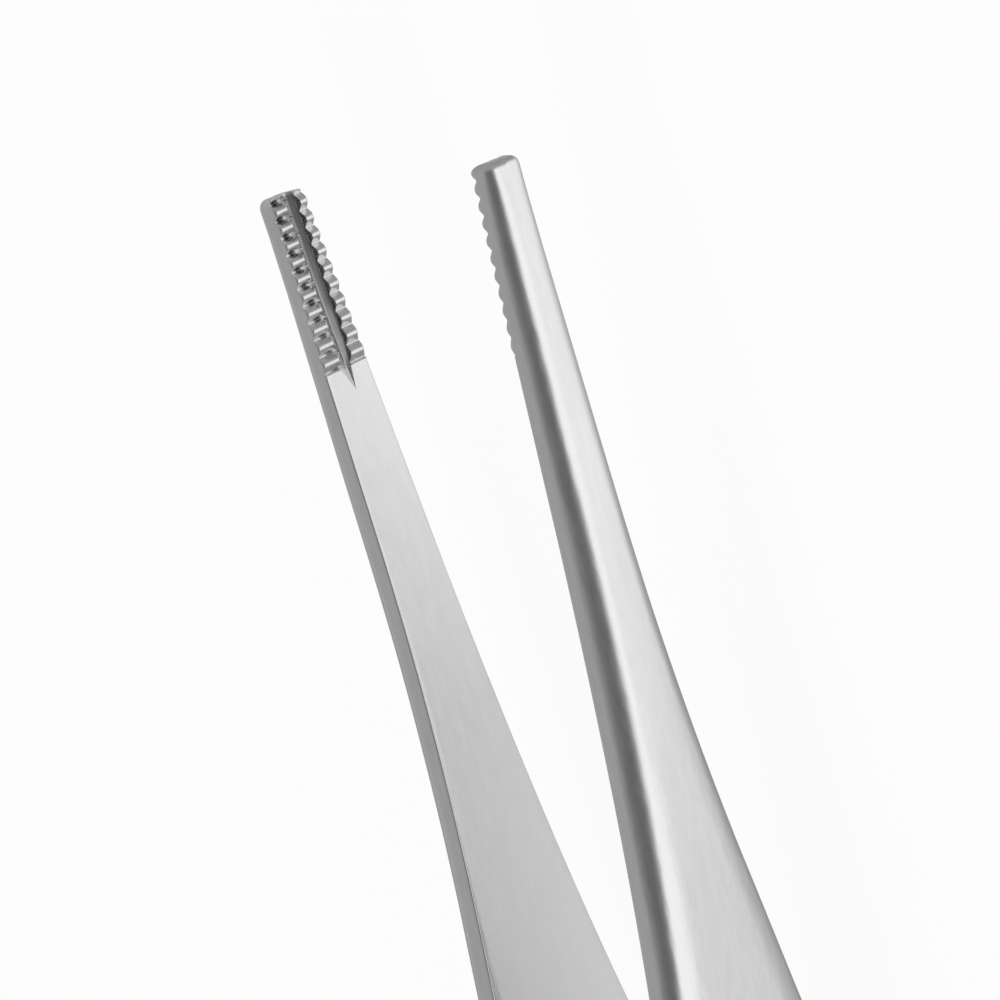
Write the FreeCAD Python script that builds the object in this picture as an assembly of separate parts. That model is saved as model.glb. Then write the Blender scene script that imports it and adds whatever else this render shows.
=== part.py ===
"""Thumb forceps for tissue, 12 cm long, with two rows of side-grasping teeth on each jaw.

Two spring arms of stainless steel, welded face to face at the heel. The forceps lie on
their side, as they come to rest: X runs along the length with the tips at +X, Y is the
opening with its mid-plane at Y = 0, and Z is the width of the arms, with the lower edges
of the thumb plates at Z = 0. All sizes are in millimetres.
"""

import FreeCAD, Part
import math
import os

from FreeCAD import Vector

# Side view of an arm's inner face, as distances from the tip end and from the mid-plane
total_length = 120.0
tip_half_gap = 6.87
shaft_bend_at = 20.6
shaft_half_gap = 5.57
shaft_bend_radius = 400.0
neck_bend_at = 37.3
neck_half_gap = 5.10
neck_bend_radius = 150.0
weld_length = 12.0
heel_bend_radius = 50.0

# Plan outline of an arm: widths, and the distances from the tip end where they hold
tip_width = 1.68
flare_at = 27.9
flare_width = 3.64
flare_radius = 180.0
plate_front_at = 54.6
plate_width = 13.5
shoulder_radius = 60.0
plate_rear_at = 82.0
plate_rear_radius = 150.0
heel_width = 9.4
heel_corner_radius = 3.0

# Thickness of an arm, and the distance from the tip end at which its thumb plate begins
tip_thickness = 1.20
shaft_thickness = 1.76
plate_from = 58.0
plate_thickness = 1.40
plate_bend_radius = 150.0
heel_thickness = 1.30

# Rounding of the edges of the outer face
edge_radius = 0.50

# Teeth: a rounded zigzag across both rails of a jaw, deeper at the tip than at the rear
tooth_pitch = 0.72
tooth_count = 11
first_crest_at = -0.09
crest_height_tip = 0.20
crest_height_rear = 0.12
valley_depth_tip = 0.20
valley_depth_rear = 0.09
crest_radius = 0.13
valley_radius = 0.11
rear_step_length = 0.06
rear_step_radius = 0.05

# Groove between the two rails: depths, places of its bottom and of its pointed end across
# the jaw, and how far each wall leans out for a unit of height
groove_bend_at = 4.8
groove_depth_tip = 0.49
groove_depth_bend = 0.40
groove_depth_rear = 0.20
groove_bottom_tip = -0.27
groove_bottom_rear = -0.17
groove_upper_lean_tip = 0.95
groove_upper_lean_rear = 2.00
groove_lower_lean = 0.38
groove_runout = 1.04
groove_apex = -0.10

# Grip on the outer face of a thumb plate: shallow scallops across it
grip_first_at = 57.0
grip_pitch = 1.8
grip_count = 12
grip_depth = 0.20
grip_width = 9.5
grip_scallop_radius = 1.6

# Room by which a cutting tool or a blank reaches past what it cuts
overcut = 1.0

# How far the middle of a bent face may lie from its path
face_tolerance = 0.1

# Share of a path's straight run that the arc at one of its ends may use up
corner_room = 0.49


def rounded_path(points, radii):
    """Return the edges of a path through points, with an arc at each inner point."""
    edges = []
    start = points[0]
    for index in range(1, len(points) - 1):
        corner = points[index]
        into = corner - points[index - 1]
        out = points[index + 1] - corner
        turn = into.getAngle(out)
        room = corner_room * min(into.Length, out.Length)
        cut = min(radii[index - 1] * math.tan(turn / 2), room)
        radius = cut / math.tan(turn / 2)
        first = corner - into.normalize() * cut
        last = corner + out.normalize() * cut
        inward = (out - into).normalize()
        middle = corner + inward * radius * (1 / math.cos(turn / 2) - 1)
        edges.append(Part.LineSegment(start, first).toShape())
        edges.append(Part.Arc(first, middle, last).toShape())
        start = last
    edges.append(Part.LineSegment(start, points[-1]).toShape())
    return edges


def height_at(edges, distance):
    """Return the height of a path, drawn in the XY plane, at a distance along X."""
    reach = Vector(0, total_length, 0)
    foot = Vector(distance, 0, 0)
    probe = Part.makeLine(foot - reach, foot + reach)
    return Part.Wire(edges).distToShape(probe)[1][0][0].y


def inner_path():
    """Return the arm's inner face in side view, from the tip end to the heel end."""
    points = [
        Vector(0, tip_half_gap, 0),
        Vector(shaft_bend_at, shaft_half_gap, 0),
        Vector(neck_bend_at, neck_half_gap, 0),
        Vector(total_length - weld_length, 0, 0),
        Vector(total_length, 0, 0),
    ]
    return rounded_path(points, [shaft_bend_radius, neck_bend_radius, heel_bend_radius])


def outline_path():
    """Return the half width of an arm against the distance from the tip end."""
    points = [
        Vector(0, tip_width / 2, 0),
        Vector(flare_at, flare_width / 2, 0),
        Vector(plate_front_at, plate_width / 2, 0),
        Vector(plate_rear_at, plate_width / 2, 0),
        Vector(total_length, heel_width / 2, 0),
        Vector(total_length, 0, 0),
    ]
    radii = [flare_radius, shoulder_radius, plate_rear_radius, heel_corner_radius]
    return rounded_path(points, radii)


def outer_path():
    """Return the arm's outer face in side view, over the inner face by its thickness."""
    plate_foot = height_at(inner_path(), plate_from)
    points = [
        Vector(0, tip_half_gap + tip_thickness, 0),
        Vector(shaft_bend_at, shaft_half_gap + shaft_thickness, 0),
        Vector(neck_bend_at, neck_half_gap + shaft_thickness, 0),
        Vector(plate_from, plate_foot + plate_thickness, 0),
        Vector(total_length - weld_length, heel_thickness, 0),
        Vector(total_length, heel_thickness, 0),
    ]
    radii = [shaft_bend_radius, neck_bend_radius, plate_bend_radius, heel_bend_radius]
    return rounded_path(points, radii)


def outline_prism():
    """Return the arm's plan outline, drawn flat and stood up across the opening."""
    upper = outline_path()
    lower = [edge.mirror(Vector(0, 0, 0), Vector(0, 1, 0)) for edge in upper]
    end = Part.makeLine(Vector(0, tip_width / 2, 0), Vector(0, -tip_width / 2, 0))
    face = Part.Face(Part.Wire(Part.__sortEdges__(upper + lower + [end])))
    reach = tip_half_gap + max(tip_thickness, shaft_thickness) + 2 * overcut
    prism = face.extrude(Vector(0, 0, reach))
    prism.rotate(Vector(0, 0, 0), Vector(1, 0, 0), 90)
    prism.rotate(Vector(0, 0, 0), Vector(0, 0, 1), 180)
    prism.translate(Vector(total_length / 2, -overcut, plate_width / 2))
    return prism


def jaw_point(distance, height):
    """Return a point of the side view, placed along the jaw's face and out of it."""
    tip = Vector(0, tip_half_gap, 0)
    along = (Vector(shaft_bend_at, shaft_half_gap, 0) - tip).normalize()
    out_of_face = Vector(along.y, -along.x, 0)
    return tip + along * distance + out_of_face * height


def teeth_points(phase):
    """Return the crests and valleys of a jaw from its tip, and the radius at each."""
    points = []
    radii = []
    for index in range(tooth_count):
        share = index / (tooth_count - 1)
        crest = crest_height_tip + share * (crest_height_rear - crest_height_tip)
        valley = valley_depth_tip + share * (valley_depth_rear - valley_depth_tip)
        crest_at = first_crest_at + phase + index * tooth_pitch
        points.append(jaw_point(crest_at, crest))
        points.append(jaw_point(crest_at + tooth_pitch / 2, -valley))
        radii += [crest_radius, valley_radius]
    return points, radii


def jaw_end(phase):
    """Return the distance from the tip end at which the teeth meet the plain inner face."""
    last_valley = first_crest_at + phase + (tooth_count - 0.5) * tooth_pitch
    return last_valley + rear_step_length


def side_prism(phase):
    """Return the arm's side view, from its toothed inner face to its outer face."""
    crests, crest_radii = teeth_points(phase)
    lead = jaw_point(first_crest_at + phase - tooth_pitch / 2, -valley_depth_tip)
    points = [jaw_point(first_crest_at + phase - tooth_pitch, 0), lead] + crests
    points += [
        jaw_point(jaw_end(phase), 0),
        Vector(shaft_bend_at, shaft_half_gap, 0),
        Vector(neck_bend_at, neck_half_gap, 0),
        Vector(total_length - weld_length, 0, 0),
        Vector(total_length, 0, 0),
    ]
    radii = [valley_radius] + crest_radii
    radii += [rear_step_radius, shaft_bend_radius, neck_bend_radius, heel_bend_radius]
    outer = outer_path()
    front = Vector(points[0].x, tip_half_gap + tip_thickness, 0)
    closing = [
        Part.makeLine(points[-1], Vector(total_length, heel_thickness, 0)),
        Part.makeLine(Vector(0, tip_half_gap + tip_thickness, 0), front),
        Part.makeLine(front, points[0]),
    ]
    edges = rounded_path(points, radii) + outer + closing
    face = Part.Face(Part.Wire(Part.__sortEdges__(edges)))
    prism = face.extrude(Vector(0, 0, plate_width + 2 * overcut))
    prism.rotate(Vector(0, 0, 0), Vector(0, 1, 0), 180)
    prism.translate(Vector(total_length / 2, 0, plate_width + overcut))
    return prism


def groove_section(distance, floor, bottom, upper_lean):
    """Return a triangle across the jaw, with its point at a height out of the face."""
    rise = overcut - floor
    point = jaw_point(distance, floor)
    top = jaw_point(distance, overcut)

    def place(corner, z):
        return Vector(total_length / 2 - corner.x, corner.y, plate_width / 2 + z)

    corners = [
        place(point, bottom),
        place(top, bottom + upper_lean * rise),
        place(top, bottom - groove_lower_lean * rise),
    ]
    return Part.makePolygon(corners + [corners[0]])


def groove_tool(phase):
    """Return the cutter of the groove, with its pointed run-out behind the teeth."""
    end = jaw_end(phase)
    beyond = 2 * groove_apex - groove_bottom_rear
    rows = [
        (-overcut, -groove_depth_tip, groove_bottom_tip, groove_upper_lean_tip),
        (groove_bend_at, -groove_depth_bend, groove_bottom_tip, groove_upper_lean_tip),
        (end, -groove_depth_rear, groove_bottom_rear, groove_upper_lean_rear),
        (end + 2 * groove_runout, groove_depth_rear, beyond, groove_upper_lean_rear),
    ]
    return Part.makeLoft([groove_section(*row) for row in rows], True, True)


def grip_tools():
    """Return the cutters of the scallops across the outer face of a thumb plate."""
    outer = outer_path()
    tools = []
    for index in range(grip_count):
        distance = grip_first_at + index * grip_pitch
        height = height_at(outer, distance) - grip_depth + grip_scallop_radius
        foot = Vector(total_length / 2 - distance, height, (plate_width - grip_width) / 2)
        tools.append(Part.makeCylinder(grip_scallop_radius, grip_width, foot, Vector(0, 0, 1)))
    return tools


def outer_rim(blank):
    """Return the edges round an arm's outer face."""
    outer = outer_path()
    faces = []
    for face in blank.Faces:
        middle = face.CenterOfMass
        distance = total_length / 2 - middle.x
        if abs(middle.y - height_at(outer, distance)) < face_tolerance:
            faces.append(face)
    edges = [edge for face in faces for edge in face.Edges]
    return [edge for edge in edges if sum(edge.isSame(other) for other in edges) == 1]


def rounded_blank(phase):
    """Return the arm with its teeth and its outer edges rounded, without the groove."""
    blank = outline_prism().common(side_prism(phase)).Solids[0]
    return blank.makeFillet(edge_radius, outer_rim(blank))


def make_arm(phase):
    """Return the arm on the +Y side, with its teeth moved back from the tip by phase."""
    return rounded_blank(phase).cut([groove_tool(phase)] + grip_tools()).Solids[0]


def mirrored(shape):
    """Return a shape mirrored over the mid-plane."""
    return shape.mirror(Vector(0, 0, 0), Vector(0, 1, 0))


nodes = {
    "arm_left": make_arm(0.0),
    "arm_right": mirrored(make_arm(tooth_pitch / 2)),
}

os.makedirs("parts", exist_ok=True)
for name, shape in nodes.items():
    shape.exportStep("parts/" + name + ".step")
    box = shape.BoundBox
    print(name, shape.isValid(), len(shape.Solids), len(shape.Faces), round(shape.Volume, 2), box)
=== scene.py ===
"""Thumb forceps of satin steel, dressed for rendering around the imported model.

The forceps lie on their side on a pale floor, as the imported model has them: X along the
length with the tips at +X, Y across the opening, Z up. Sizes are in millimetres, and
distances along an arm are counted back from its tip end. The meshes are in metres.
"""

from __future__ import annotations

import logging
import math
from collections.abc import Sequence
from dataclasses import dataclass
from enum import Enum

import bmesh
import bpy
from mathutils import Matrix, Vector

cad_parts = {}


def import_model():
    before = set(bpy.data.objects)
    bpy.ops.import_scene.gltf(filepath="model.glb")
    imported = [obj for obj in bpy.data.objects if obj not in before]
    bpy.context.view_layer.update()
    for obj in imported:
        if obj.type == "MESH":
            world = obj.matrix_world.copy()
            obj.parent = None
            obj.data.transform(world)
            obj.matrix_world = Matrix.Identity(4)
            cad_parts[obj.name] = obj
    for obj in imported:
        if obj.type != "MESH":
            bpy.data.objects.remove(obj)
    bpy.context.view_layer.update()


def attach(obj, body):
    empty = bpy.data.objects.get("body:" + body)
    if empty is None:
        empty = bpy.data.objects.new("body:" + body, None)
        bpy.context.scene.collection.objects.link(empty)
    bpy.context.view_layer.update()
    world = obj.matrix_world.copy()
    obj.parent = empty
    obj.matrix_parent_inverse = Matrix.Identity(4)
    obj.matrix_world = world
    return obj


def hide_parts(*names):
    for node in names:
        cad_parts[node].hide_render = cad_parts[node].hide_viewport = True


MM = 0.001
TOTAL_LENGTH = 120.0
MID_HEIGHT = 6.75

Table = tuple[tuple[float, float], ...]

log = logging.getLogger("forceps")


class Side(Enum):
    """Which of the two arms: the sign of its place across the opening."""

    LEFT = 1
    RIGHT = -1


@dataclass(frozen=True)
class Bend:
    """An arc between two straight runs of a line."""

    start: float
    end: float
    centre_at: float
    centre_height: float
    radius: float
    bulge: int

    def height(self, at: float) -> float:
        """Return the height of the arc.

        Args:
            at: distance along the line, between start and end.

        Returns:
            The height over the line's base.
        """
        reach = self.radius**2 - (at - self.centre_at) ** 2
        return self.centre_height + self.bulge * math.sqrt(max(reach, 0.0))


class BentLine:
    """A line of straight runs with an arc at each inner corner."""

    corner_room = 0.49

    def __init__(
        self, points: Sequence[tuple[float, float]], radii: Sequence[float]
    ) -> None:
        """Work out the arcs.

        Args:
            points: distances and heights of the corners, first and last end included.
            radii: the radius of the arc at each inner corner.
        """
        self.points = [Vector(point) for point in points]
        self.bends = [self._bend(index + 1, radius) for index, radius in enumerate(radii)]

    def _bend(self, index: int, radius: float) -> Bend:
        """Return the arc at a corner.

        Args:
            index: which point of the line is the corner.
            radius: the arc's radius, made smaller where the runs are too short for it.

        Returns:
            The arc.
        """
        corner = self.points[index]
        into = corner - self.points[index - 1]
        out = self.points[index + 1] - corner
        turn = into.angle(out)
        room = self.corner_room * min(into.length, out.length)
        cut = min(radius * math.tan(turn / 2), room)
        radius = cut / math.tan(turn / 2)
        start = corner - into.normalized() * cut
        end = corner + out.normalized() * cut
        inward = (out.normalized() - into.normalized()).normalized()
        centre = corner + inward * (radius / math.cos(turn / 2))
        bulge = 1 if centre.y < corner.y else -1
        return Bend(start.x, end.x, centre.x, centre.y, radius, bulge)

    def height(self, at: float) -> float:
        """Return the height of the line.

        Args:
            at: distance along the line.

        Returns:
            The height there.
        """
        for bend in self.bends:
            if bend.start <= at <= bend.end:
                return bend.height(at)
        for first, last in zip(self.points, self.points[1:]):
            if at <= last.x:
                break
        share = (at - first.x) / (last.x - first.x)
        return first.y + (last.y - first.y) * share


def from_table(rows: Table, at: float) -> float:
    """Return a value read between the rows of a table.

    Args:
        rows: distances and values, in the order of the distances.
        at: the distance asked for.

    Returns:
        The value, held level before the first row and after the last.
    """
    if at <= rows[0][0]:
        return rows[0][1]
    for (first, low), (last, high) in zip(rows, rows[1:]):
        if at <= last:
            return low + (high - low) * (at - first) / (last - first)
    return rows[-1][1]


def clamp(value: float, low: float = 0.0, high: float = 1.0) -> float:
    """Return a value held between two limits."""
    return min(max(value, low), high)


def arc_steps(reach: float, steps: int) -> list[float]:
    """Return steps that are close together at first and wider towards the end.

    Args:
        reach: where the steps would end.
        steps: how many there are.

    Returns:
        The distances, from 0 on, with the end left out.
    """
    return [reach * (1 - math.cos(math.pi / 2 * index / steps)) for index in range(steps)]


def rounded_corner(before: Vector, corner: Vector, after: Vector, size: float) -> list[Vector]:
    """Return three points that round a corner of a section.

    Args:
        before: the point that the section comes from.
        corner: the corner itself.
        after: the point that the section goes to.
        size: how far from the corner the rounding starts and ends.

    Returns:
        The start, middle and end of the rounding.
    """
    back = before - corner
    on = after - corner
    start = corner + back.normalized() * min(size, back.length / 3)
    end = corner + on.normalized() * min(size, on.length / 3)
    return [start, start * 0.25 + corner * 0.5 + end * 0.25, end]


def between(first: Vector, last: Vector, count: int) -> list[Vector]:
    """Return evenly spaced points inside a straight run.

    Args:
        first: one end of the run, left out.
        last: the other end of the run, left out.
        count: how many points.

    Returns:
        The points.
    """
    return [first.lerp(last, (index + 1) / (count + 1)) for index in range(count)]


@dataclass
class JawTeeth:
    """The two rows of teeth on a jaw, with the groove between them.

    Heights are counted from the plain inner face, out of the steel. Places across the jaw
    are counted from its middle line, upwards.
    """

    phase: float = 0.0
    pitch: float = 0.728
    count: int = 11
    first_crest_at: float = -0.17
    skew: float = -0.06
    crest_tip: float = 0.23
    crest_rear: float = 0.15
    valley_tip: float = 0.24
    valley_rear: float = 0.09
    crest_radius: float = 0.21
    valley_radius: float = 0.07
    last_radius: float = 0.015
    rear_step: float = 0.07
    step_radius: float = 0.16
    pit_depth: float = 0.22
    pit_outer: float = 0.78
    pit_inner: float = 0.45
    pit_fade_start: float = 1.25
    pit_fade_least: float = 0.3
    crest_break: float = 0.13
    valley_break: float = 0.018
    tip_break_share: float = 0.8
    tip_break_reach: float = 2.0
    edge_break: float = 0.07
    end_break: float = 0.12
    runout: float = 1.04
    near_edge: float = 0.36
    rail_least: float = 0.05
    ledge_share: float = 0.49
    ledge_lean: float = 0.002
    runout_ledge: float = 0.4
    groove_rounding: float = 0.04
    ledge_rounding: float = 0.03
    plain_spread: float = 0.25
    plain_spread_most: float = 0.5
    no_depth: float = 0.001
    rail_points: int = 6
    wall_points: int = 2
    ledge_points: int = 3
    groove_depth: Table = (
        (0.0, 0.49),
        (4.6, 0.42),
        (6.2, 0.35),
        (7.0, 0.27),
        (7.5, 0.20),
        (8.54, 0.0),
    )
    groove_bottom: Table = ((0.0, -0.16), (6.2, -0.16), (7.5, -0.13), (8.54, -0.10))
    far_edge: Table = (
        (0.0, -0.46),
        (5.5, -0.47),
        (6.4, -0.45),
        (7.0, -0.38),
        (7.5, -0.25),
        (8.54, -0.10),
    )

    def __post_init__(self) -> None:
        """Draw the line of crests and valleys."""
        lead = self.first_crest_at + self.phase - self.pitch / 2
        points = [(lead - self.pitch / 2, 0.0), (lead, -self.valley_tip)]
        radii = [self.valley_radius]
        for index in range(self.count):
            share = index / (self.count - 1)
            at = lead + self.pitch * (index + 0.5)
            points.append((at, self.crest(share)))
            points.append((at + self.pitch / 2, -self.valley(share)))
            radii += [self.crest_radius, self.valley_radius]
        self.end = points[-1][0] + self.rear_step
        points += [(self.end, 0.0), (TOTAL_LENGTH, 0.0)]
        radii[-1] = self.last_radius
        self.line = BentLine(points, radii + [self.step_radius])
        self.groove_end = self.end + self.runout
        self.stretch = self.groove_end / self.groove_depth[-1][0]

    def crest(self, share: float) -> float:
        """Return the height of a crest at a share of the way from the first to the last."""
        return self.crest_tip + share * (self.crest_rear - self.crest_tip)

    def valley(self, share: float) -> float:
        """Return the depth of a valley at a share of the way from the first to the last."""
        return self.valley_tip + share * (self.valley_rear - self.valley_tip)

    def hollow(self, at: float) -> float:
        """Return how far down between two crests a place is.

        Args:
            at: distance from the tip end.

        Returns:
            From 0 at a crest and on the plain face to 1 at the bottom of a valley.
        """
        if at >= self.end:
            return 0.0
        share = clamp(at / self.end)
        crest, valley = self.crest(share), self.valley(share)
        return clamp((crest - self.line.height(at)) / (crest + valley))

    def rail_height(self, at: float, across: float) -> float:
        """Return the height of a rail: the zigzag, with pits in the upper rail's valleys.

        Args:
            at: distance from the tip end.
            across: place across the jaw.

        Returns:
            The height over the plain inner face.
        """
        reach = clamp((self.pit_outer - abs(across)) / (self.pit_outer - self.pit_inner))
        share = reach * reach * (3 - 2 * reach)
        fade = clamp(self.pit_fade_start - at / self.end, self.pit_fade_least)
        to_end = max(self.end_break - at, 0.0)
        end = self.end_break - math.sqrt(self.end_break**2 - to_end**2)
        at += self.skew * across
        pit = self.pit_depth * fade * share * self.hollow(at) ** 2 if across > 0.0 else 0.0
        return self.line.height(at) - end - pit

    def crest_height(self, at: float) -> float:
        """Return the height of the crests, falling to the plain face behind the last one.

        Args:
            at: distance from the tip end.

        Returns:
            The height over the plain inner face.
        """
        behind = clamp((self.end - at) / (self.pitch / 2))
        return self.crest(clamp(at / self.end)) * behind

    def side_break(self, at: float) -> float:
        """Return the rounding between a rail and the arm's side, wider at the crests.

        Args:
            at: distance from the tip end.

        Returns:
            The radius of the rounding.
        """
        if at >= self.end:
            return self.edge_break
        wider = 1 + self.tip_break_share * max(1 - at / self.tip_break_reach, 0.0)
        return self.valley_break + wider * self.crest_break * (1 - self.hollow(at)) ** 2

    def groove(self, at: float) -> tuple[float, float, float, float]:
        """Return the groove's near edge, bottom, depth and far edge.

        Args:
            at: distance from the tip end.

        Returns:
            The two edges and the bottom as places across the jaw, and the depth. Behind
            the groove they run apart again on the plain face.
        """
        if at > self.groove_end:
            bottom = self.groove_bottom[-1][1]
            spread = min((at - self.groove_end) * self.plain_spread, self.plain_spread_most)
            return bottom + spread, bottom, 0.0, bottom - spread
        place = at / self.stretch
        bottom = from_table(self.groove_bottom, place)
        close = clamp((self.groove_end - at) / self.runout)
        near = bottom + (self.near_edge - bottom) * close
        far = min(from_table(self.far_edge, place), bottom)
        return near, bottom, from_table(self.groove_depth, place), far

    def contour(self, at: float, half_width: float) -> list[Vector]:
        """Return the inner face in section, from the upper edge to the lower edge.

        Args:
            at: distance from the tip end.
            half_width: half the arm's width there.

        Returns:
            Points as place across the jaw and height over the plain inner face, between
            the ends of the roundings towards the arm's sides.
        """
        near, bottom, depth, far = self.groove(at)
        gap = half_width - self.side_break(at)
        if depth > self.no_depth:
            height = self.rail_height(at, near)
            near = bottom + (near - bottom) * (height + depth) / (self.crest_height(at) + depth)
        near = min(near, gap - self.rail_least)
        far = max(far, -gap + self.rail_least)
        near_top = self._on_rail(at, near)
        far_top = self._on_rail(at, far)
        floor = Vector((bottom, min(-depth, self.line.height(at))))
        ledge = Vector((far - self.ledge_lean, min(far_top.y, -self.ledge_share * depth)))
        if at > self.end:
            ledge = far_top.lerp(floor, self.runout_ledge)
        upper = self._on_rail(at, gap)
        lower = self._on_rail(at, -gap)
        at_near = rounded_corner(upper, near_top, floor, self.groove_rounding)
        at_floor = rounded_corner(near_top, floor, ledge, self.groove_rounding)
        at_ledge = rounded_corner(floor, ledge, far_top, self.ledge_rounding)
        at_far = rounded_corner(ledge, far_top, lower, self.groove_rounding)
        points = [upper, *self._rail(at, upper, at_near[0])]
        points += at_near + between(at_near[-1], at_floor[0], self.wall_points)
        points += at_floor + between(at_floor[-1], at_ledge[0], self.wall_points)
        points += at_ledge + between(at_ledge[-1], at_far[0], self.ledge_points)
        return points + at_far + self._rail(at, at_far[-1], lower) + [lower]

    def _on_rail(self, at: float, across: float) -> Vector:
        """Return a point of a rail as place across the jaw and height."""
        return Vector((across, self.rail_height(at, across)))

    def _rail(self, at: float, first: Vector, last: Vector) -> list[Vector]:
        """Return points of a rail between two of its points.

        Args:
            at: distance from the tip end.
            first: one end of the run, left out.
            last: the other end of the run, left out.

        Returns:
            The points, on the rail's own surface.
        """
        return [self._on_rail(at, spot.x) for spot in between(first, last, self.rail_points)]


@dataclass(frozen=True)
class ShadePainting:
    """Painted shade on the jaw's steel, standing in for the shade deep in the pits and in the
    groove.

    Places are counted across the jaw, and heights from the plain inner face.
    """

    tip_margin: float = 0.1
    lowest: float = -0.7
    wall: float = 0.85
    wall_reach: float = 0.012
    wall_over_ledge: float = 0.02
    groove: float = 0.65
    groove_full_depth: float = 0.3
    groove_upper: float = 0.1
    groove_top: float = -0.08
    pits_from: float = 0.3
    floor_hollow: float = 0.8
    floor_from: float = 1.6
    floor_rim: tuple[float, float] = (0.78, 0.08)
    slope_rim: tuple[float, float] = (0.86, 0.03)
    pit_top: float = 0.08
    pit_fade: float = 0.25

    def level(self, teeth: JawTeeth, at: float, place: float, height: float) -> float:
        """Return how much painted shade a point of the inner face gets.

        Args:
            teeth: the teeth on that face.
            at: distance from the tip end.
            place: the point's place across the jaw.
            height: its height over the plain inner face.

        Returns:
            0 where no shade is painted, up to 1 for the darkest painted shade.
        """
        # Painted shade: darkest on the groove's far wall, then in the groove and deep in the
        # upper rail's pits.
        if not self.tip_margin < at < teeth.end or height < self.lowest:
            return 0.0
        _, _, depth, far = teeth.groove(at)
        over_ledge = height > self.wall_over_ledge - teeth.ledge_share * depth
        if abs(place - far) < self.wall_reach and over_ledge:
            return self.wall
        if far <= place < self.groove_upper and height < self.groove_top:
            return self.groove * min(depth / self.groove_full_depth, 1.0)
        if place < self.pits_from:
            return 0.0
        deep = teeth.hollow(at + teeth.skew * place) > self.floor_hollow
        rim, fade = self.floor_rim if deep and at > self.floor_from else self.slope_rim
        return clamp((rim - place) / fade) * clamp((self.pit_top - height) / self.pit_fade)


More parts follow.
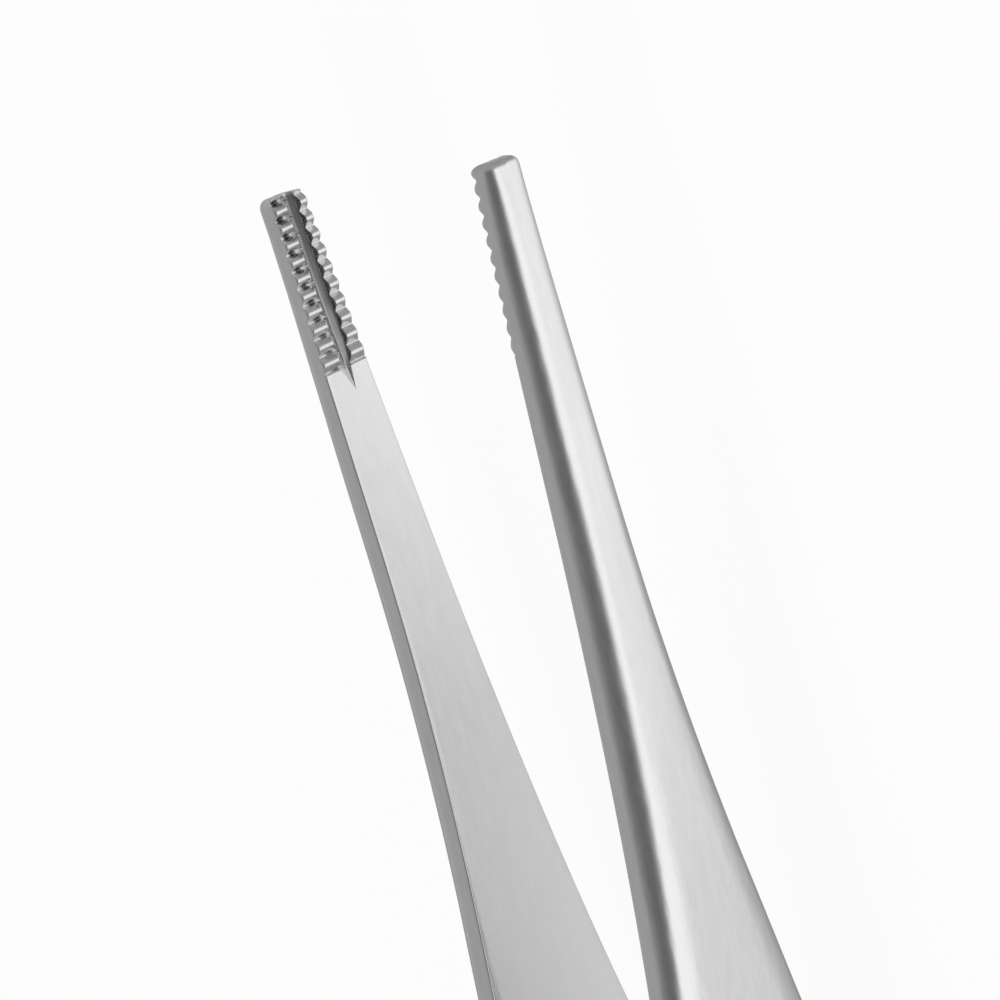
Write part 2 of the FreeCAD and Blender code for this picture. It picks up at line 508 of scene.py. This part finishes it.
@dataclass
class ArmShape:
    """The form of a spring arm, as sections across it."""

    teeth: JawTeeth
    tip_corner: float
    # where shade is painted into the jaw's pits and groove
    shade_painting: ShadePainting = ShadePainting()
    tip_half_gap: float = 6.87
    shaft_bend_at: float = 20.6
    shaft_half_gap: float = 5.57
    neck_bend_at: float = 37.3
    neck_half_gap: float = 5.10
    weld_length: float = 12.0
    inner_radii: tuple[float, ...] = (400.0, 150.0, 50.0)
    outer_radii: tuple[float, ...] = (400.0, 150.0, 150.0, 50.0)
    tip_width: float = 1.76
    flare_at: float = 27.9
    flare_width: float = 3.70
    plate_front_at: float = 54.6
    plate_width: float = 13.5
    plate_rear_at: float = 82.0
    heel_width: float = 9.4
    outline_radii: tuple[float, ...] = (180.0, 60.0, 150.0)
    heel_corner_radius: float = 3.0
    tip_thickness: float = 1.26
    shaft_thickness: float = 1.82
    plate_from: float = 58.0
    plate_thickness: float = 1.40
    heel_thickness: float = 1.30
    crown_most: float = 0.32
    crown_share: float = 0.06
    crown_power: int = 4
    slope_step: float = 0.05
    grip_first_at: float = 57.0
    grip_pitch: float = 1.8
    grip_count: int = 12
    grip_depth: float = 0.20
    grip_width: float = 9.5
    grip_radius: float = 1.6
    grip_fade: float = 0.7
    edge_radius: Table = (
        (0.0, 0.45),
        (1.5, 0.60),
        (4.0, 0.72),
        (8.0, 0.78),
        (14.0, 0.85),
        (20.0, 0.90),
        (26.0, 0.80),
        (32.0, 0.62),
        (45.0, 0.55),
        (60.0, 0.50),
        (120.0, 0.50),
    )
    lower_edge_share: Table = ((0.0, 0.78), (12.0, 1.0))
    shoulder_width: float = 0.9
    shoulder_drop: Table = ((12.0, 0.0), (20.0, 0.03), (30.0, 0.10), (45.0, 0.10), (60.0, 0.0))
    side_angles: tuple[float, ...] = (67.5, 45.0, 22.5, 0.0)
    side_points: int = 3
    arc_points: int = 10
    fade_points: int = 5
    middle_points: int = 5
    plain_shares: tuple[float, ...] = (0.33, 0.67)
    inside_margin: float = 1.02
    inside_least: float = 0.1
    grip_room: float = 0.8
    fade_room: float = 0.3
    steps_per_tooth: int = 30
    teeth_margin: float = 0.12
    runout_margin: float = 0.1
    runout_step: float = 0.08
    shaft_step: float = 0.5
    grip_from: float = 55.8
    grip_to: float = 79.0
    grip_step: float = 0.1
    plate_to: float = 116.8
    plate_step: float = 0.8
    tip_steps: int = 12
    heel_steps: int = 16
    heel_edge_steps: int = 10
    least_step: float = 0.004

    def __post_init__(self) -> None:
        """Draw the side view and the outline."""
        weld_at = TOTAL_LENGTH - self.weld_length
        inner = [
            (0.0, self.tip_half_gap),
            (self.shaft_bend_at, self.shaft_half_gap),
            (self.neck_bend_at, self.neck_half_gap),
            (weld_at, 0.0),
            (TOTAL_LENGTH, 0.0),
        ]
        self.inner = BentLine(inner, self.inner_radii)
        foot = self.inner.height(self.plate_from)
        outer = [
            (0.0, self.tip_half_gap + self.tip_thickness),
            (self.shaft_bend_at, self.shaft_half_gap + self.shaft_thickness),
            (self.neck_bend_at, self.neck_half_gap + self.shaft_thickness),
            (self.plate_from, foot + self.plate_thickness),
            (weld_at, self.heel_thickness),
            (TOTAL_LENGTH, self.heel_thickness),
        ]
        self.outer = BentLine(outer, self.outer_radii)
        outline = [
            (0.0, self.tip_width / 2),
            (self.flare_at, self.flare_width / 2),
            (self.plate_front_at, self.plate_width / 2),
            (self.plate_rear_at, self.plate_width / 2),
            (TOTAL_LENGTH, self.heel_width / 2),
        ]
        self.outline = BentLine(outline, self.outline_radii)
        self.tip_edge = from_table(self.edge_radius, 0.0)
        self.heel_edge = from_table(self.edge_radius, TOTAL_LENGTH)

    def corner(self, at: float, tip_corner: float) -> tuple[float, float]:
        """Return the nearer end's distance and the radius of its corners in plan.

        Args:
            at: distance from the tip end.
            tip_corner: the radius of the corners at the tip.

        Returns:
            The distance to that end and the radius.
        """
        if at < TOTAL_LENGTH / 2:
            return at, tip_corner
        return TOTAL_LENGTH - at, self.heel_corner_radius

    def half_width(self, at: float, tip_corner: float) -> float:
        """Return half the arm's width, with the rounded corners of its ends.

        Args:
            at: distance from the tip end.
            tip_corner: the radius of the corners at the tip.

        Returns:
            The distance from the middle line to the side.
        """
        to_end, radius = self.corner(at, tip_corner)
        cut = max(radius - to_end, 0.0)
        return self.outline.height(at) - radius + math.sqrt(radius**2 - cut**2)

    def edge_drop(self, at: float, across: float) -> float:
        """Return how far the rounding of the outer edges lowers the outer face.

        Args:
            at: distance from the tip end.
            across: place across the arm.

        Returns:
            The drop.
        """
        half = self.outline.height(at)
        slope = (self.outline.height(at + self.slope_step) - half) / self.slope_step
        to_side = (half - abs(across)) / math.hypot(1.0, slope)
        to_end, corner = self.corner(at, self.tip_edge)
        distance = min(to_side, to_end)
        if to_side < corner and to_end < corner:
            distance = corner - math.hypot(corner - to_side, corner - to_end)
        radius = from_table(self.edge_radius, at)
        if across < 0.0:
            radius *= from_table(self.lower_edge_share, at)
        cut = clamp(radius - distance, 0.0, radius)
        return radius - math.sqrt(radius**2 - cut**2)

    def scallop(self, at: float, across: float) -> float:
        """Return the depth of the grip's scallops in the outer face.

        Args:
            at: distance from the tip end.
            across: place across the arm.

        Returns:
            The depth, 0 outside the grip.
        """
        if abs(across) > self.grip_width / 2:
            return 0.0
        index = round((at - self.grip_first_at) / self.grip_pitch)
        if not 0 <= index < self.grip_count:
            return 0.0
        off = at - self.grip_first_at - index * self.grip_pitch
        reach = self.grip_radius**2 - off**2
        depth = max(math.sqrt(max(reach, 0.0)) - self.grip_radius + self.grip_depth, 0.0)
        share = min((self.grip_width / 2 - abs(across)) / self.grip_fade, 1.0)
        return depth * math.sqrt(1 - (1 - share) ** 2)

    def outer_point(self, at: float, across: float) -> Vector:
        """Work out a point of the outer face.

        Args:
            at: distance from the tip end.
            across: place across the arm.

        Returns:
            The point as place across the arm and height over the mid-plane.
        """
        half = self.outline.height(at)
        crown = min(self.crown_most, self.crown_share * half)
        crown *= (across / half) ** self.crown_power
        start = half - from_table(self.edge_radius, at) - self.shoulder_width
        reach = max(abs(across) - start, 0.0) / self.shoulder_width
        reach = reach**2 if reach < 1.0 else 2 * reach - 1
        crown += from_table(self.shoulder_drop, at) * reach
        fall = crown + self.edge_drop(at, across) + self.scallop(at, across)
        return Vector((across, self.outer.height(at) - fall))

    def outer_places(self, at: float) -> list[float]:
        """Return the places across the arm at which its outer face is drawn.

        Args:
            at: distance from the tip end.

        Returns:
            The places from the upper edge to the middle line: round the edge, over the
            plain strip, over the ends of the scallops and along their middle.
        """
        half = self.half_width(at, self.tip_edge)
        rounding = from_table(self.edge_radius, at) * self.inside_margin
        inside = max(min(self.outline.height(at) - rounding, half), self.inside_least)
        grip = min(self.grip_width / 2, self.grip_room * inside)
        fade = min(self.grip_fade, self.fade_room * grip)
        width = half - inside
        places = [half - drop for drop in arc_steps(width, self.arc_points)] + [inside]
        places += [inside + (grip - inside) * share for share in self.plain_shares]
        places += [grip - drop for drop in arc_steps(fade, self.fade_points)]
        last = self.middle_points - 1
        return places + [(grip - fade) * (1 - index / last) for index in range(last + 1)]

    def section(self, at: float) -> list[Vector]:
        """Return the whole section of the arm.

        Args:
            at: distance from the tip end.

        Returns:
            Points across the arm and over the mid-plane, once round from the upper edge of
            the inner face.
        """
        face = self.inner.height(at)
        half = self.half_width(at, self.tip_corner)
        inner = self.teeth.contour(at, half)
        size = half - inner[0].x
        below = self._side_rounding(inner[-1], -size)
        above = self._side_rounding(inner[0], size)
        places = self.outer_places(at)
        across = [-place for place in places] + places[-2::-1]
        outer = [self.outer_point(at, place) for place in across]
        points = [Vector((p.x, face - p.y)) for p in inner + below]
        closing = [Vector((p.x, face - p.y)) for p in reversed(above)]
        points += between(points[-1], outer[0], self.side_points) + outer
        return points + between(outer[-1], closing[0], self.side_points) + closing

    def _side_rounding(self, end: Vector, size: float) -> list[Vector]:
        """Return the rounding from an end of the inner face to a side of the arm.

        Args:
            end: the end of the inner face.
            size: the radius of the rounding, below 0 on the lower side.

        Returns:
            Points as place across the arm and height over the plain inner face.
        """
        drop = abs(size)
        turns = [math.radians(angle) for angle in self.side_angles]
        return [
            Vector((end.x + size * math.cos(turn), end.y - drop + drop * math.sin(turn)))
            for turn in turns
        ]

    def painted_shade(self, at: float, point: Vector) -> float:
        """Work out how much painted shade a point of a section gets.

        Args:
            at: distance from the tip end.
            point: a point of the inner face there.

        Returns:
            0 where no shade is painted, up to 1 for the darkest painted shade.
        """
        height = self.inner.height(at) - point.y
        return self.shade_painting.level(self.teeth, at, point.x, height)

    def stations(self) -> list[float]:
        """Return the distances from the tip end at which the arm's sections are drawn."""
        teeth_to = self.teeth.end + self.teeth_margin
        runout_to = self.teeth.groove_end + self.runout_margin
        runs = [
            (0.0, teeth_to, self.teeth.pitch / self.steps_per_tooth),
            (teeth_to, runout_to, self.runout_step),
            (runout_to, self.grip_from, self.shaft_step),
            (self.grip_from, self.grip_to, self.grip_step),
            (self.grip_to, self.plate_to, self.plate_step),
        ]
        found = [self.teeth.groove_end, TOTAL_LENGTH - self.heel_corner_radius]
        for first, last, step in runs:
            count = math.ceil((last - first) / step)
            found += [first + (last - first) * index / count for index in range(count)]
        found += arc_steps(self.tip_edge, self.tip_steps)
        to_heel = arc_steps(self.heel_corner_radius, self.heel_steps)
        to_heel += arc_steps(self.heel_edge, self.heel_edge_steps)
        found += [TOTAL_LENGTH - reach for reach in to_heel]
        found.sort()
        kept = [found[0]]
        for at in found[1:]:
            if at - kept[-1] > self.least_step:
                kept.append(at)
        kept[-1] = TOTAL_LENGTH
        return kept


class NodeSheet:
    """A node tree, with short ways to add the nodes that the finishes are made of."""

    colour_inputs = (6, 7)
    colour_output = 2

    def __init__(self, tree: bpy.types.NodeTree) -> None:
        """Take up the nodes and links of a tree."""
        self.nodes, self.links = tree.nodes, tree.links

    def add(self, kind: str) -> bpy.types.Node:
        """Return a new shader node of the named kind."""
        return self.nodes.new(f"ShaderNode{kind}")

    def feed(
        self,
        socket: bpy.types.NodeSocket,
        value: bpy.types.NodeSocket | float | tuple[float, ...],
    ) -> None:
        """Give an input its value.

        Args:
            socket: the input.
            value: another node's output, which is linked, or else a plain value.
        """
        if isinstance(value, bpy.types.NodeSocket):
            self.links.new(value, socket)
        else:
            socket.default_value = value

    def math(
        self,
        operation: str,
        *values: bpy.types.NodeSocket | float,
        clamped: bool = False,
    ) -> bpy.types.NodeSocket:
        """Work something out from numbers.

        Args:
            operation: what is done, in the Math node's own words.
            values: the numbers, in the node's order.
            clamped: whether the result is held between 0 and 1.

        Returns:
            The result.
        """
        made = self.add("Math")
        made.operation = operation
        made.use_clamp = clamped
        for socket, value in zip(made.inputs, values):
            self.feed(socket, value)
        return made.outputs[0]

    def span(
        self,
        value: bpy.types.NodeSocket,
        start: float,
        end: float,
        low: float = 0.0,
        high: float = 1.0,
        smooth: bool = False,
    ) -> bpy.types.NodeSocket:
        """Carry a value from one range to another, held level past both ends.

        Args:
            value: the value.
            start: the value that gives low.
            end: the value that gives high.
            low: the result at start.
            high: the result at end.
            smooth: whether the change eases in and out.

        Returns:
            The result.
        """
        made = self.add("MapRange")
        if smooth:
            made.interpolation_type = "SMOOTHSTEP"
        made.inputs["From Min"].default_value = start
        made.inputs["From Max"].default_value = end
        made.inputs["To Min"].default_value = low
        made.inputs["To Max"].default_value = high
        self.links.new(value, made.inputs["Value"])
        return made.outputs["Result"]

    def noise(
        self,
        place: bpy.types.NodeSocket,
        stretch: float,
        per_metre: float,
        detail: float,
    ) -> bpy.types.NodeSocket:
        """Add a noise that is drawn out along the arm.

        Args:
            place: the coordinates.
            stretch: how much coarser the noise is along the arm than across it.
            per_metre: how fine the noise is.
            detail: how many finer layers it has.

        Returns:
            The noise's level.
        """
        drawn = self.add("Mapping")
        drawn.inputs["Scale"].default_value = (stretch, 1.0, 1.0)
        self.links.new(place, drawn.inputs["Vector"])
        made = self.add("TexNoise")
        made.inputs["Scale"].default_value = per_metre
        made.inputs["Detail"].default_value = detail
        self.links.new(drawn.outputs["Vector"], made.inputs["Vector"])
        return made.outputs["Fac"]

    def bump(
        self, height: bpy.types.NodeSocket, strength: float, depth: float
    ) -> bpy.types.Node:
        """Add a bump.

        Args:
            height: the height that drives it, from 0 to 1.
            strength: how strong it is.
            depth: how deep it is, in metres.

        Returns:
            The bump's node.
        """
        made = self.add("Bump")
        made.inputs["Strength"].default_value = strength
        made.inputs["Distance"].default_value = depth
        self.links.new(height, made.inputs["Height"])
        return made

    def ramp(
        self,
        value: bpy.types.NodeSocket,
        stops: Sequence[tuple[float, tuple[float, float, float]]],
    ) -> bpy.types.NodeSocket:
        """Turn a value into a colour.

        Args:
            value: the value.
            stops: places between 0 and 1 and the colours there, in order.

        Returns:
            The colour.
        """
        made = self.add("ValToRGB")
        elements = made.color_ramp.elements
        while len(elements) < len(stops):
            elements.new(0.5)
        for element, (place, colour) in zip(elements, stops):
            element.position = place
            element.color = (*colour, 1.0)
        self.links.new(value, made.inputs["Fac"])
        return made.outputs["Color"]

    def mix(
        self,
        share: bpy.types.NodeSocket | float,
        first: bpy.types.NodeSocket,
        last: bpy.types.NodeSocket,
    ) -> bpy.types.NodeSocket:
        """Mix two numbers.

        Args:
            share: how much of the last one is in the mix.
            first: the result where the share is 0.
            last: the result where the share is 1.

        Returns:
            The mix.
        """
        made = self.add("Mix")
        self.feed(made.inputs["Factor"], share)
        self.links.new(first, made.inputs["A"])
        self.links.new(last, made.inputs["B"])
        return made.outputs["Result"]

    def mix_colours(
        self,
        share: bpy.types.NodeSocket,
        first: bpy.types.NodeSocket,
        last: tuple[float, float, float],
    ) -> bpy.types.NodeSocket:
        """Mix a colour with a plain one.

        Args:
            share: how much of the plain colour is in the mix.
            first: the result where the share is 0.
            last: the plain colour.

        Returns:
            The mix.
        """
        made = self.add("Mix")
        made.data_type = "RGBA"
        self.links.new(share, made.inputs["Factor"])
        self.links.new(first, made.inputs[self.colour_inputs[0]])
        made.inputs[self.colour_inputs[1]].default_value = (*last, 1.0)
        return made.outputs[self.colour_output]

    def mix_shaders(
        self, share: bpy.types.NodeSocket, first: bpy.types.Node, last: bpy.types.Node
    ) -> bpy.types.Node:
        """Mix two shaders.

        Args:
            share: how much of the last one is in the mix.
            first: the shader where the share is 0.
            last: the shader where the share is 1.

        Returns:
            The mixing node.
        """
        made = self.add("MixShader")
        for socket, value in zip(made.inputs, (share, first.outputs[0], last.outputs[0])):
            self.links.new(value, socket)
        return made


@dataclass(frozen=True)
class SatinSteel:
    """Satin finish of surgical steel: fine grain, a soft mottle, a faint waviness and painted
    shade.
    """

    name: str = "satin_steel"
    pale: tuple[float, float, float] = (0.80, 0.80, 0.80)
    deep: tuple[float, float, float] = (0.748, 0.748, 0.75)
    # dark colour painted as shade in the jaw's pits and groove
    shade_colour: tuple[float, float, float] = (0.17, 0.17, 0.17)
    roughness_low: float = 0.23
    roughness_high: float = 0.30
    noise_low: float = 0.35
    noise_high: float = 0.65
    grain_share: float = 0.33
    grain_per_metre: float = 9000.0
    grain_stretch: float = 0.22
    grain_detail: float = 3.0
    grain_bump: float = 0.08
    grain_depth: float = 0.000004
    mottle_per_metre: float = 2000.0
    mottle_stretch: float = 0.35
    mottle_detail: float = 2.0
    waves_per_metre: float = 2200.0
    wave_stretch: float = 0.35
    wave_detail: float = 1.0
    wave_bump: float = 1.0
    wave_depth: float = 0.000016

    def material(self) -> bpy.types.Material:
        """Return the finish as a material."""
        made = bpy.data.materials.new(self.name)
        made.use_nodes = True
        sheet = NodeSheet(made.node_tree)
        shader = sheet.nodes["Principled BSDF"]
        shader.inputs["Metallic"].default_value = 1.0
        place = sheet.add("TexCoord").outputs["Object"]
        grain = sheet.noise(place, self.grain_stretch, self.grain_per_metre, self.grain_detail)
        mottle = sheet.noise(
            place, self.mottle_stretch, self.mottle_per_metre, self.mottle_detail
        )
        waves = sheet.noise(place, self.wave_stretch, self.waves_per_metre, self.wave_detail)
        both = sheet.mix(self.grain_share, mottle, grain)
        colour = sheet.ramp(both, ((self.noise_low, self.deep), (self.noise_high, self.pale)))
        # the mesh's painted shade level darkens the colour in the pits and groove
        painted_shade = sheet.add("Attribute")
        painted_shade.attribute_name = "painted_shade"
        shaded_colour = sheet.mix_colours(painted_shade.outputs["Fac"], colour, self.shade_colour)
        rough = sheet.span(
            both, self.noise_low, self.noise_high, self.roughness_low, self.roughness_high
        )
        wavy = sheet.bump(waves, self.wave_bump, self.wave_depth)
        grainy = sheet.bump(grain, self.grain_bump, self.grain_depth)
        sheet.links.new(wavy.outputs["Normal"], grainy.inputs["Normal"])
        sheet.links.new(shaded_colour, shader.inputs["Base Color"])
        sheet.links.new(rough, shader.inputs["Roughness"])
        sheet.links.new(grainy.outputs["Normal"], shader.inputs["Normal"])
        return made


@dataclass
class SpringArm:
    """One arm of the forceps, from its toothed jaw to the heel."""

    side: Side
    teeth: JawTeeth
    tip_corner: float
    face_weight: int = 60
    join_distance: float = 0.0004

    @property
    def node(self) -> str:
        """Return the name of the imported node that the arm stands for."""
        return "arm_left" if self.side is Side.LEFT else "arm_right"

    def build(self) -> bpy.types.Object:
        """Return the arm as an object in the scene."""
        mesh = bmesh.new()
        self._wrap(mesh, ArmShape(self.teeth, self.tip_corner))
        self._close(mesh)
        data = bpy.data.meshes.new(f"{self.node}_satin")
        mesh.to_mesh(data)
        mesh.free()
        arm = bpy.data.objects.new(f"{self.node}_satin", data)
        bpy.context.scene.collection.objects.link(arm)
        even = arm.modifiers.new("even_normals", "WEIGHTED_NORMAL")
        even.weight = self.face_weight
        even.keep_sharp = True
        return arm

    def _wrap(self, mesh: bmesh.types.BMesh, shape: ArmShape) -> None:
        """Wrap a grid round the sections of the arm.

        Args:
            mesh: the empty mesh.
            shape: the arm's form, which says where shade is painted on its finish.
        """
        stations = shape.stations()
        sections = [shape.section(at) for at in stations]
        along = len(stations) - 1
        around = len(sections[0])
        bmesh.ops.create_grid(mesh, x_segments=along, y_segments=around, size=1.0)
        # level of painted shade in the jaw's pits and groove, read by the material
        painted_shade = mesh.verts.layers.float.new("painted_shade")
        inner_count = len(self.teeth.contour(0.0, shape.half_width(0.0, shape.tip_corner)))
        for corner in mesh.verts:
            row = round((corner.co.x + 1) / 2 * along)
            spot = round((corner.co.y + 1) / 2 * around) % around
            point = sections[row][spot]
            if spot < inner_count:
                corner[painted_shade] = shape.painted_shade(stations[row], point)
            corner.co = (
                (TOTAL_LENGTH / 2 - stations[row]) * MM,
                point.y * self.side.value * MM,
                (MID_HEIGHT + point.x) * MM,
            )
        bmesh.ops.remove_doubles(mesh, verts=mesh.verts, dist=self.join_distance * MM)

    def _close(self, mesh: bmesh.types.BMesh) -> None:
        """Close both ends with flat faces and turn all the faces outwards.

        Args:
            mesh: the wrapped sections.
        """
        rim = [edge for edge in mesh.edges if edge.is_boundary]
        caps = bmesh.ops.holes_fill(mesh, edges=rim, sides=0)["faces"]
        for face in mesh.faces:
            face.smooth = True
        for cap in caps:
            cap.smooth = False
            for edge in cap.edges:
                edge.smooth = False
        bmesh.ops.recalc_face_normals(mesh, faces=mesh.faces)


@dataclass
class Forceps:
    """The pair of arms, welded face to face at the heel."""

    finish: SatinSteel
    left_corner: float = 0.08
    right_corner: float = 0.26
    right_end_break: float = 0.38

    def arms(self) -> list[SpringArm]:
        """Return both arms, with the right one's teeth moved by half a pitch."""
        offset = JawTeeth(phase=JawTeeth.pitch / 2, end_break=self.right_end_break)
        return [
            SpringArm(Side.LEFT, JawTeeth(), self.left_corner),
            SpringArm(Side.RIGHT, offset, self.right_corner),
        ]

    def build(self) -> None:
        """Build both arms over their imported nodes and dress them."""
        steel = self.finish.material()
        for arm in self.arms():
            made = arm.build()
            made.data.materials.append(steel)
            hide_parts(arm.node)
            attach(made, "root")
            log.info("%s: %d faces", made.name, len(made.data.polygons))


@dataclass(frozen=True)
class Studio:
    """A pale floor under soft studio light.

    The sky is a ring of light round the X axis: degrees above the horizon in front, and
    the level of light there. Past the tips and the heel it gives way to the end light.
    """

    floor_size: float = 6.0
    floor_colour: tuple[float, float, float] = (0.9, 0.9, 0.9)
    floor_glow: float = 0.9
    sky: Table = (
        (-180.0, 0.40),
        (-120.0, 0.38),
        (-90.0, 0.58),
        (-60.0, 0.72),
        (-46.0, 0.83),
        (-36.0, 0.91),
        (-20.0, 0.98),
        (-5.0, 1.0),
        (12.0, 0.97),
        (24.0, 0.62),
        (36.0, 0.25),
        (48.0, 0.14),
        (65.0, 0.12),
        (85.0, 0.14),
        (105.0, 0.20),
        (125.0, 0.29),
        (142.0, 0.34),
        (180.0, 0.40),
    )
    sky_strength: float = 1.19
    end_light: float = 0.30
    end_from: float = 0.32
    end_to: float = 0.60
    shade: float = 0.78
    shade_from: float = 26.0
    shade_to: float = 44.0
    shade_near: float = 20.0
    shade_far: float = 36.0
    gap_shade: float = 0.67
    gap_shade_from: float = 37.0
    gap_shade_to: float = 57.0
    gap_from: float = -12.0
    gap_to: float = -8.0
    gap_bright_at: float = 1.0
    gap_low: float = 0.88
    gap_high: float = 1.10
    lamp_size: float = 0.7
    lamp_power: float = 5.0
    lamp_reach: float = 0.75
    lamp_tilt: float = 45.0

    def build(self) -> None:
        """Build the floor, the sky of soft light and the two end lamps."""
        self._floor()
        self._sky()
        for side in (1, -1):
            self._lamp(side)
        log.info("studio: floor, sky and two lamps")

    def _floor(self) -> None:
        """Lay the floor."""
        mesh = bmesh.new()
        bmesh.ops.create_grid(mesh, x_segments=1, y_segments=1, size=self.floor_size / 2)
        data = bpy.data.meshes.new("floor")
        mesh.to_mesh(data)
        mesh.free()
        floor = bpy.data.objects.new("floor", data)
        bpy.context.scene.collection.objects.link(floor)
        floor.data.materials.append(self._floor_finish())

    def _floor_finish(self) -> bpy.types.Material:
        """Return the floor's finish: near white with a shadow, and clear in reflections.

        Returns:
            The material. What the metal mirrors through it is the lower half of the sky.
        """
        made = bpy.data.materials.new("pale_floor")
        made.use_nodes = True
        sheet = NodeSheet(made.node_tree)
        sheet.nodes.clear()
        rays = sheet.add("LightPath").outputs
        plain = sheet.add("BsdfDiffuse")
        plain.inputs["Color"].default_value = (*self.floor_colour, 1.0)
        glow = sheet.add("Emission")
        seen = sheet.math("MAXIMUM", rays["Is Camera Ray"], rays["Is Transmission Ray"])
        shown = sheet.mix_shaders(sheet.math("MULTIPLY", seen, self.floor_glow), plain, glow)
        clear = sheet.add("BsdfTransparent")
        sheet.links.new(self._floor_tint(sheet), clear.inputs["Color"])
        mirrored = sheet.math("MAXIMUM", rays["Is Glossy Ray"], rays["Is Shadow Ray"])
        whole = sheet.mix_shaders(mirrored, shown, clear)
        output = sheet.add("OutputMaterial")
        sheet.links.new(whole.outputs[0], output.inputs["Surface"])
        return made

    def _floor_tint(self, sheet: NodeSheet) -> bpy.types.NodeSocket:
        """Shade the clear floor near the arms and between them.

        Args:
            sheet: the floor's nodes.

        Returns:
            The level of light that comes through.
        """
        parts = sheet.add("SeparateXYZ")
        sheet.links.new(sheet.add("TexCoord").outputs["Object"], parts.inputs[0])
        along, across = parts.outputs["X"], parts.outputs["Y"]
        ahead = sheet.span(along, self.shade_from * MM, self.shade_to * MM, self.shade)
        aside = sheet.math("ABSOLUTE", across)
        beside = sheet.span(aside, self.shade_near * MM, self.shade_far * MM, self.shade)
        outside = sheet.math("MAXIMUM", ahead, beside)
        within = sheet.span(
            along, self.gap_shade_from * MM, self.gap_shade_to * MM, self.gap_shade
        )
        rising = sheet.span(
            across, self.gap_to * MM, self.gap_bright_at * MM, self.gap_low, self.gap_high
        )
        gap = sheet.math("MULTIPLY", within, rising, clamped=True)
        inside = sheet.span(across, self.gap_from * MM, self.gap_to * MM)
        return sheet.mix(inside, outside, gap)

    def _sky(self) -> None:
        """Set the soft light from all round: bright low in front, dark over it."""
        world = bpy.data.worlds.new("studio")
        bpy.context.scene.world = world
        world.use_nodes = True
        sheet = NodeSheet(world.node_tree)
        sheet.nodes.clear()
        parts = sheet.add("SeparateXYZ")
        sheet.links.new(sheet.add("TexCoord").outputs["Generated"], parts.inputs[0])
        front = sheet.math("MULTIPLY", parts.outputs["Y"], -1.0)
        angle = sheet.math("ARCTAN2", parts.outputs["Z"], front)
        turn = sheet.math("MULTIPLY_ADD", angle, 0.5 / math.pi, 0.5)
        stops = [(0.5 + degrees / 360.0, (level,) * 3) for degrees, level in self.sky]
        ring = sheet.ramp(turn, stops)
        ends = sheet.math("ABSOLUTE", parts.outputs["X"])
        share = sheet.span(ends, self.end_from, self.end_to, smooth=True)
        light = sheet.add("Background")
        light.inputs["Strength"].default_value = self.sky_strength
        colour = sheet.mix_colours(share, ring, (self.end_light,) * 3)
        sheet.links.new(colour, light.inputs["Color"])
        white = sheet.add("Background")
        white.inputs["Color"].default_value = (1.0, 1.0, 1.0, 1.0)
        rays = sheet.add("LightPath").outputs
        whole = sheet.mix_shaders(rays["Is Camera Ray"], light, white)
        output = sheet.add("OutputWorld")
        sheet.links.new(whole.outputs[0], output.inputs["Surface"])

    def _lamp(self, side: int) -> None:
        """Hang a wide soft lamp past one end of the forceps.

        Args:
            side: 1 past the tips, -1 past the heel.
        """
        data = bpy.data.lights.new("softbox", "AREA")
        data.shape = "RECTANGLE"
        data.size = self.lamp_size
        data.size_y = self.lamp_size
        data.energy = self.lamp_power
        lamp = bpy.data.objects.new("softbox", data)
        lamp.location = (self.lamp_reach * side, 0.0, self.lamp_reach)
        lamp.rotation_euler = (0.0, math.radians(self.lamp_tilt) * side, 0.0)
        lamp.visible_camera = False
        lamp.visible_glossy = False
        bpy.context.scene.collection.objects.link(lamp)


@dataclass(frozen=True)
class CloseCamera:
    """A long lens close to the tips, looking down on the forceps from the front."""

    up: tuple[float, float, float] = (0.95031, -0.08598, -0.29920)
    back: tuple[float, float, float] = (0.11471, -0.79676, 0.59330)
    anchor: tuple[float, float, float] = (58.6, 0.0, 6.75)
    anchor_px: tuple[float, float] = (395.4, 209.9)
    px_per_mm: float = 24.426
    distance: float = 866.9
    picture_px: float = 1000.0
    sensor: float = 36.0
    nearest: float = 0.01
    farthest: float = 20.0

    def build(self) -> None:
        """Place the camera so that the anchor lands on its place in the picture."""
        back = Vector(self.back).normalized()
        right = Vector(self.up).cross(back).normalized()
        up = back.cross(right)
        middle = self.picture_px / 2
        across = (middle - self.anchor_px[0]) / self.px_per_mm
        down = (middle - self.anchor_px[1]) / self.px_per_mm
        target = Vector(self.anchor) + right * across - up * down
        data = bpy.data.cameras.new("camera")
        data.sensor_width = self.sensor
        data.lens = self.sensor * self.distance * self.px_per_mm / self.picture_px
        data.clip_start = self.nearest
        data.clip_end = self.farthest
        camera = bpy.data.objects.new("camera", data)
        turn = Matrix((right, up, back)).transposed().to_4x4()
        camera.matrix_world = Matrix.Translation((target + back * self.distance) * MM) @ turn
        bpy.context.scene.collection.objects.link(camera)
        bpy.context.scene.camera = camera
        log.info("camera: %.0f mm lens", data.lens)


def main() -> None:
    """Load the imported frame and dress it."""
    logging.basicConfig(level=logging.INFO, format="%(name)s %(message)s")
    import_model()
    Forceps(SatinSteel()).build()
    Studio().build()
    CloseCamera().build()
    bpy.context.scene.view_settings.view_transform = "Standard"


if __name__ == "__main__":
    main()
